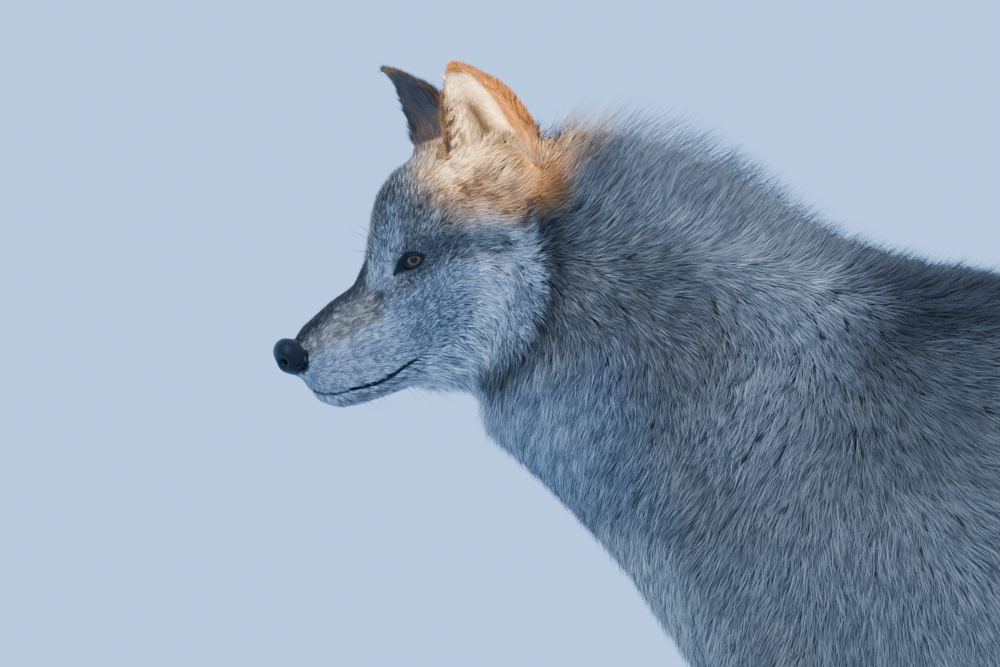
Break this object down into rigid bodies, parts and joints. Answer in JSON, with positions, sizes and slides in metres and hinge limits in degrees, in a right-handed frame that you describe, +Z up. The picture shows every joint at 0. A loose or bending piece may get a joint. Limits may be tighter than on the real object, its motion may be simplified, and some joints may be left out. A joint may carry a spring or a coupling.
{
  "type": "standing grey wolf",
  "caption": "Life-size still grey wolf in winter coat, standing with its head low and turned a little to its left.",
  "frame": {"origin": "middle of the wolf's footprint, on the floor plane under the soles", "axes": "+Z up, -Y the way the wolf faces, +X the wolf's left side"},
  "size_m": [0.3082, 1.2996, 1.0225],
  "materials": {
    "coat_head": "thick winter fur",
    "coat_neck": "thick winter fur",
    "coat_trunk": "thick winter fur",
    "coat_tail": "thick winter fur",
    "coat_foreleg": "thick winter fur",
    "coat_hindleg": "thick winter fur",
    "coat_ear": "thick winter fur",
    "eye": "polished",
    "nose": "pebbled, moist",
    "claw": "satin horn"
  },
  "bodies": {
    "root": {"head": "coat_head", "neck": "coat_neck", "trunk": "coat_trunk", "tail": "coat_tail", "foreleg_left": "coat_foreleg", "hindleg_left": "coat_hindleg", "ear_left": "coat_ear", "eye_left": "eye", "foreleg_right": "coat_foreleg", "hindleg_right": "coat_hindleg", "ear_right": "coat_ear", "eye_right": "eye", "nose": "nose", "claw_foreleg_left_1": "claw", "claw_foreleg_left_2": "claw", "claw_foreleg_left_3": "claw", "claw_foreleg_left_4": "claw", "claw_foreleg_right_1": "claw", "claw_foreleg_right_2": "claw", "claw_foreleg_right_3": "claw", "claw_foreleg_right_4": "claw", "claw_hindleg_left_1": "claw", "claw_hindleg_left_2": "claw", "claw_hindleg_left_3": "claw", "claw_hindleg_left_4": "claw", "claw_hindleg_right_1": "claw", "claw_hindleg_right_2": "claw", "claw_hindleg_right_3": "claw", "claw_hindleg_right_4": "claw"}
  },
  "joints": []
}
